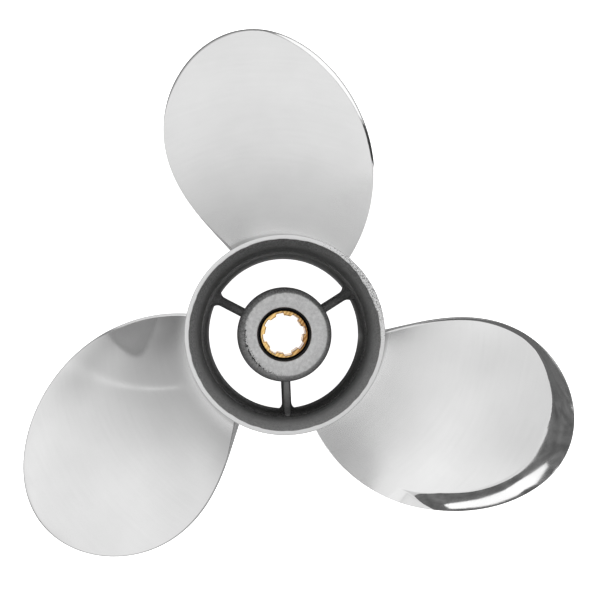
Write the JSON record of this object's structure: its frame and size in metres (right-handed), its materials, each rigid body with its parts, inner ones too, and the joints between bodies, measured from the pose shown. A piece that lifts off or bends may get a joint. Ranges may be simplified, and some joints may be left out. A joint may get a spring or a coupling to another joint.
{
  "type": "boat propeller",
  "caption": "Right-hand outboard boat propeller in polished stainless steel, with broad swept blades, exhaust through the hub and a rubber-mounted splined brass sleeve.",
  "frame": {"origin": "on the shaft axis, in the plane of the barrel's front rim, which is the end towards the engine", "axes": "+Z along the shaft axis, pointing aft, away from the engine; +Y towards the root side of the first blade, which reaches up in the picture; +X completes the frame, to the picture's right"},
  "size_m": [0.2112, 0.2006, 0.092],
  "materials": {
    "polished_stainless": "hand-polished stainless steel casting, mirror bright",
    "cast_stainless": "stainless steel as cast and blasted, dark and dull, ground bright on the hub's aft face",
    "black_rubber": "moulded black rubber",
    "machined_brass": "turned and broached brass"
  },
  "bodies": {
    "root": {"hub_barrel": "polished_stainless", "diffuser_ring": "polished_stainless", "inner_hub": "cast_stainless", "rubber_bushing": "black_rubber", "spline_sleeve": "machined_brass", "rib_1": "cast_stainless", "rib_2": "cast_stainless", "rib_3": "cast_stainless", "blade_1": "polished_stainless", "blade_2": "polished_stainless", "blade_3": "polished_stainless"}
  },
  "joints": []
}
